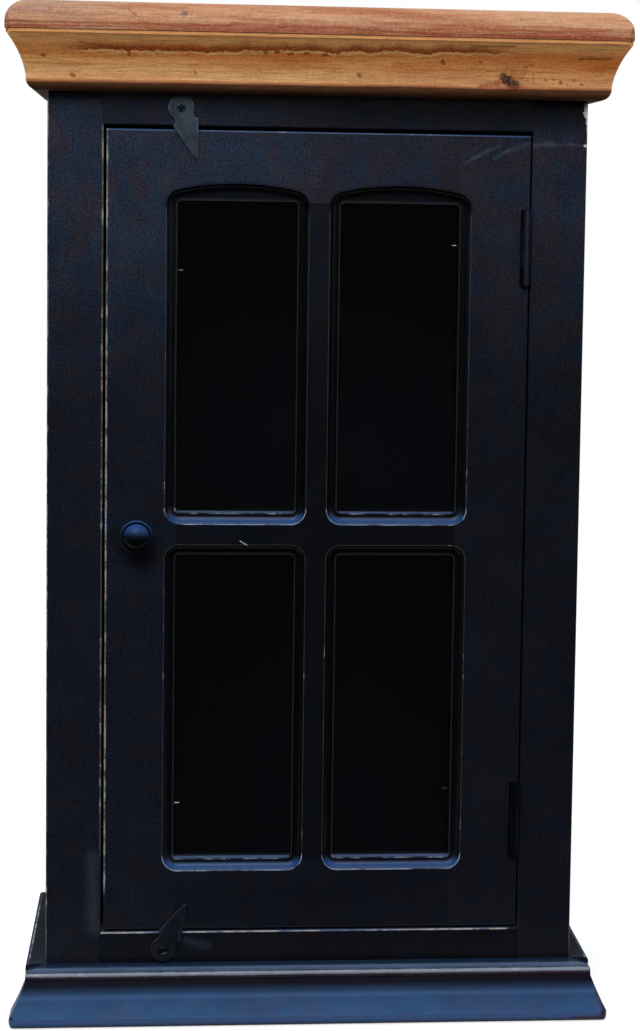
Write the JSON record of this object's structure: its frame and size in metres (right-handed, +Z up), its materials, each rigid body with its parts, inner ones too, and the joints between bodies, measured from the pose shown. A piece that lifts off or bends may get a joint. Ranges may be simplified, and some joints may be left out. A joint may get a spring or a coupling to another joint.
{
  "type": "thimble display case",
  "caption": "Small standing display cabinet with an inset glazed door on butt hinges, turn buttons, a shelf, a flared plinth and an oiled wood cornice.",
  "frame": {"origin": "middle of the floor area under the whole cabinet, on the plane it stands on", "axes": "+Z up, +X to the right seen from in front, +Y from the door towards the back"},
  "size_m": [0.413, 0.203, 0.685],
  "materials": {
    "black_paint": "black paint, satin, rubbed through to wood at the edges",
    "inside_stain": "dark stain, matt",
    "oiled_wood": "oiled and waxed, clear grain",
    "glass": "clear float glass",
    "pin_steel": "plain drawn wire",
    "knob_paint": "black enamel, satin",
    "black_iron": "iron painted black",
    "grey_iron": "forged blue-grey iron, rubbed bright at the edges"
  },
  "bodies": {
    "cabinet": {"left_side": "black_paint", "right_side": "black_paint", "frame_left_stile": "black_paint", "frame_right_stile": "black_paint", "frame_top_rail": "black_paint", "frame_bottom_rail": "black_paint", "plinth_front": "black_paint", "plinth_left": "black_paint", "plinth_right": "black_paint", "floor_board": "inside_stain", "ceiling_board": "inside_stain", "shelf": "inside_stain", "back_panel": "inside_stain", "top_board": "oiled_wood", "cornice_front": "oiled_wood", "cornice_left": "oiled_wood", "cornice_right": "oiled_wood", "upper_hinge_frame_leaf": "black_iron", "upper_hinge_frame_screws": "black_iron", "upper_hinge_pin": "black_iron", "lower_hinge_frame_leaf": "black_iron", "lower_hinge_frame_screws": "black_iron", "lower_hinge_pin": "black_iron", "top_button_screw": "grey_iron", "bottom_button_screw": "black_iron"},
    "door": {"door_left_stile": "black_paint", "door_right_stile": "black_paint", "door_top_rail": "black_paint", "door_mid_rail": "black_paint", "door_bottom_rail": "black_paint", "door_upper_muntin": "black_paint", "door_lower_muntin": "black_paint", "glass_upper_left": "glass", "glass_upper_right": "glass", "glass_lower_left": "glass", "glass_lower_right": "glass", "glazing_beads_upper_left": "inside_stain", "glazing_beads_upper_right": "inside_stain", "glazing_beads_lower_left": "inside_stain", "glazing_beads_lower_right": "inside_stain", "glazing_pins": "pin_steel", "knob": "knob_paint", "knob_screw": "black_iron", "upper_hinge_door_leaf": "black_iron", "upper_hinge_door_screws": "black_iron", "lower_hinge_door_leaf": "black_iron", "lower_hinge_door_screws": "black_iron"},
    "top_button": {"top_turn_button": "grey_iron"},
    "bottom_button": {"bottom_turn_button": "black_iron"}
  },
  "joints": [
    {"name": "door_swing", "type": "hinge", "parent": "cabinet", "child": "door", "pos_m": [0.1395, -0.076, 0.332], "axis": [0, 0, 1], "range_deg": [0, 170]},
    {"name": "top_button_turn", "type": "hinge", "parent": "cabinet", "child": "top_button", "pos_m": [-0.0922, -0.0762, 0.6176], "axis": [0, 1, 0], "range_deg": [-67.5, 102.5]},
    {"name": "bottom_button_turn", "type": "hinge", "parent": "cabinet", "child": "bottom_button", "pos_m": [-0.1008, -0.0762, 0.0474], "axis": [0, 1, 0], "range_deg": [-111, 59]}
  ]
}
